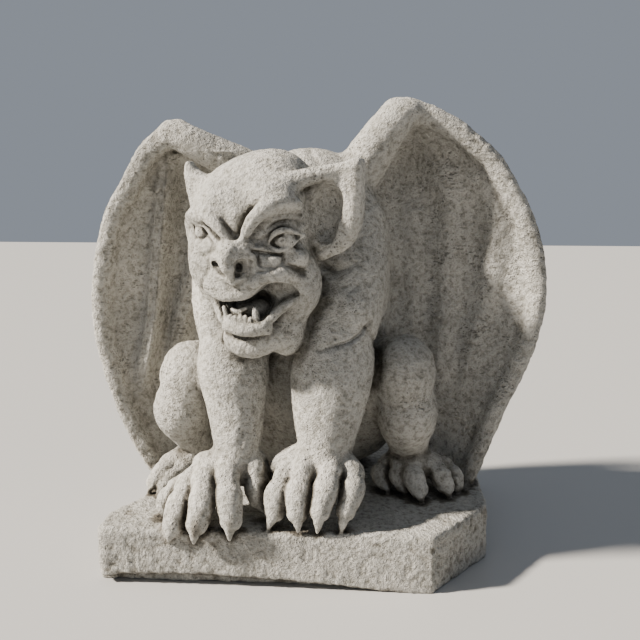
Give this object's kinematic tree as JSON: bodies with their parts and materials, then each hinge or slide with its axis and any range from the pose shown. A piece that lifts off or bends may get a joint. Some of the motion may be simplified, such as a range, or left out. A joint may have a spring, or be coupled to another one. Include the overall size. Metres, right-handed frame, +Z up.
{
  "type": "stone gargoyle",
  "caption": "Winged gargoyle that crouches with both hands on the front edge of a low plinth, cast in one piece.",
  "frame": {"origin": "middle of the plinth's rectangle, at its underside", "axes": "+Z up, -Y out of the front towards the viewer, +X to the viewer's right"},
  "size_m": [0.4818, 0.2919, 0.4629],
  "materials": {
    "cast_stone": "matte, weathered and granular"
  },
  "bodies": {
    "root": {"gargoyle": "cast_stone"}
  },
  "joints": []
}
